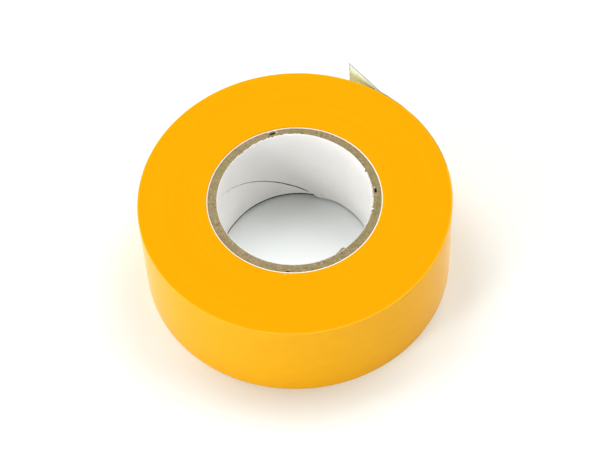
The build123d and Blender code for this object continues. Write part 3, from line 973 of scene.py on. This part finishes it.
M1, M2, M3 = (A1 + A2) / 2, (A2 + A3) / 2, (A3 + TAIL_END) / 2
tail_a = tail_strip("tape_end_root", A1, M1, first=True)
tail_b = tail_strip("tape_end_first_bend", M1, M2)
tail_c = tail_strip("tape_end_second_bend", M2, M3)
tail_d = tail_strip("tape_end_cut", M3, YELLOW_END, last=True)
tuple(rim(A1))
tuple(rim(M1))
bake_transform(tail_a)
tuple(rim(M1))
tuple(rim(M2))
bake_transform(tail_b)
tuple(rim(M2))
tuple(rim(M3))
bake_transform(tail_c)
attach(tail_d, "tape_end_3")
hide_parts("tape_end_1")
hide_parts("tape_end_2")
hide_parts("tape_end_3")

# ---------------------------------------------------------------------------
# the film pull tab: stuck under the strip, then free
# ---------------------------------------------------------------------------
EDGE_BAND = 0.20


def film_tab():
    stuck = np.linspace(M3 - 0.4, TAIL_END, 26)
    inner_r = wind(stuck) + 0.010 + 0.03 * smooth_step(stuck, 46.0, YELLOW_END)
    path = cyl(inner_r, stuck, 0.0)[:, :2]
    way = math.radians(TAB_HEADING)
    ahead = np.array([math.cos(way), math.sin(way)])
    tangent = math.radians(TAIL_END + 90.0)
    start_dir = np.array([math.cos(tangent), math.sin(tangent)])
    s = np.concatenate([np.linspace(0.0, TAB_LENGTH - 0.5, 66)[1:], np.linspace(TAB_LENGTH - 0.5, TAB_LENGTH, 9)[1:]])
    ease = smooth_step(s, 0.0, 0.9)
    free = [path[-1]]
    last = 0.0
    for d, e in zip(s, ease):
        v = start_dir * (1 - e) + ahead * e
        free.append(free[-1] + v / np.linalg.norm(v) * (d - last))
        last = d
    line = np.vstack([path, np.array(free[1:])])
    step = np.gradient(line, axis=0)
    step /= np.linalg.norm(step, axis=1)[:, None]
    normal = np.stack([step[:, 1], -step[:, 0]], -1)
    z = np.concatenate(
        [
            [TAIL_LOW, TAIL_LOW + 0.015, TAIL_LOW + EDGE_BAND],
            np.linspace(TAIL_LOW + EDGE_BAND, TAIL_TOP - EDGE_BAND, 110)[1:-1],
            [TAIL_TOP - EDGE_BAND, TAIL_TOP - 0.015, TAIL_TOP],
        ]
    )
    n = len(line)
    along = np.concatenate([np.zeros(len(path)), s / TAB_LENGTH])
    # the end was cut by a blade with teeth about 1.5 mm apart, and the cut leans
    teeth = ((z + 0.32) / 1.45) % 1.0
    teeth = -0.17 * np.abs(teeth * 2 - 1) - 0.02 * np.cos(z * 9.0)
    near_end = np.clip((along - 0.945) / 0.055, 0, 1)
    lean = -TAB_SLANT * (TAIL_TOP - z) / (TAIL_TOP - TAIL_LOW)
    shift = near_end[:, None] * teeth[None, :] + along[:, None] * lean[None, :]
    wave = 0.030 * (along**1.5)[:, None] * np.cos(z / 18.0 * 2 * math.pi * 0.8 + 0.6)[None, :]
    rounded = np.zeros(len(z))
    rounded[[0, -1]] = 0.012
    x_in = line[:, None, :] + shift[..., None] * step[:, None, :] + (wave + rounded[None, :])[..., None] * normal[:, None, :]
    x_out = x_in + (FILM - 2 * rounded)[None, :, None] * normal[:, None, :]
    on_roll = smooth_step(stuck, M3, TAIL_END)
    lift = TAB_PROUD * np.concatenate([on_roll, np.ones(len(s))]) + TAB_RISE * along
    zz = z[None, :, None] + lift[:, None, None]
    grid_in = np.concatenate([x_in, zz], -1)
    grid_out = np.concatenate([x_out, zz], -1)
    cells = np.zeros(len(z), int)
    cells[:2] = cells[-3:-1] = 1
    sh = Sheets()
    for grid, flip in ((grid_out, False), (grid_in, True)):
        sh.add(grid[:-2], cells, flip=flip)
        sh.add(grid[-3:], 1, flip=flip)
    for k, flip in ((0, True), (-1, False)):
        sh.add(np.stack([grid_in[:, k], grid_out[:, k]], 1), 1, flip=not flip)
        sh.add(np.stack([grid_in[k], grid_out[k]], 1), 1, flip=flip)
    tab = sh.build("film_pull_tab", [mat_film, mat_film_edge], smooth=40.0, merge=0.0002)
    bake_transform(tab)
    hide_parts("pull_tab_root", "pull_tab")
    return tab


film_tab()

# ---------------------------------------------------------------------------
# floor and light
# ---------------------------------------------------------------------------
floor_mat, nt, bsdf = material("floor")
bsdf.inputs["Base Color"].default_value = (0.884, 0.921, 0.908, 1.0)
bsdf.inputs["Roughness"].default_value = 0.9
bsdf.inputs["Specular IOR Level"].default_value = 0.1
floor_mesh = bpy.data.meshes.new("floor")
floor_mesh.from_pydata(
    [(-3, -3, 0), (3, -3, 0), (3, 3, 0), (-3, 3, 0)], [], [(0, 1, 2, 3)]
)
floor_mesh.materials.append(floor_mat)
floor = bpy.data.objects.new("floor", floor_mesh)
floor.location.z = -0.00002
scene.collection.objects.link(floor)

world = bpy.data.worlds.new("studio")
world.use_nodes = True
background = world.node_tree.nodes["Background"]
# pale just above the horizon, as a plain backdrop for low views; nearly all the light comes from the soft discs
wnt = world.node_tree
tc = wnt.nodes.new("ShaderNodeTexCoord")
sep = wnt.nodes.new("ShaderNodeSeparateXYZ")
wnt.links.new(tc.outputs["Generated"], sep.inputs[0])
glow = map_range(wnt, sep.outputs[2], math.sin(math.radians(7.5)), math.sin(math.radians(12.0)), 0.86, 0.02, smooth=True)
grey = wnt.nodes.new("ShaderNodeCombineColor")
for k in range(3):
    wnt.links.new(glow, grey.inputs[k])
wnt.links.new(grey.outputs[0], background.inputs["Color"])
background.inputs["Strength"].default_value = 1.0
scene.world = world


def area(name, azimuth, elevation, distance, size, power, colour=(1.0, 1.0, 1.0)):
    data = bpy.data.lights.new(name, "AREA")
    data.shape = "DISK"
    data.size = size
    data.energy = power
    data.color = colour
    obj = bpy.data.objects.new(name, data)
    a, e = math.radians(azimuth), math.radians(elevation)
    away = Vector((math.cos(a) * math.cos(e), math.sin(a) * math.cos(e), math.sin(e)))
    obj.location = away * distance
    obj.rotation_mode = "QUATERNION"
    obj.rotation_quaternion = away.to_track_quat("Z", "Y")
    scene.collection.objects.link(obj)
    return obj


# (azimuth, elevation, disc diameter, power), each a soft disc at the same distance
LIGHTS = (
    (0.0, 38.0, 0.5, 1.455),
    (45.0, 15.0, 0.5, 0.270),
    (45.0, 62.0, 0.5, 3.080),
    (90.0, 62.0, 0.5, 0.072),
    (135.0, 15.0, 0.5, 0.306),
    (135.0, 62.0, 0.5, 2.974),
    (180.0, 15.0, 0.5, 1.330),
    (180.0, 38.0, 0.5, 0.405),
    (225.0, 15.0, 0.5, 1.400),
    (270.0, 15.0, 0.5, 0.915),
    (315.0, 15.0, 0.5, 0.670),
    (315.0, 38.0, 0.5, 0.147),
    (215.0, 33.0, 0.22, 1.880),
)
for number, (light_azimuth, light_elevation, wide, power) in enumerate(LIGHTS):
    area(f"softbox_{number + 1}", light_azimuth, light_elevation, 0.8, wide, power)

scene.view_settings.view_transform = "Standard"
scene.view_settings.look = "None"
scene.view_settings.exposure = 0.0
scene.view_settings.gamma = 1.0
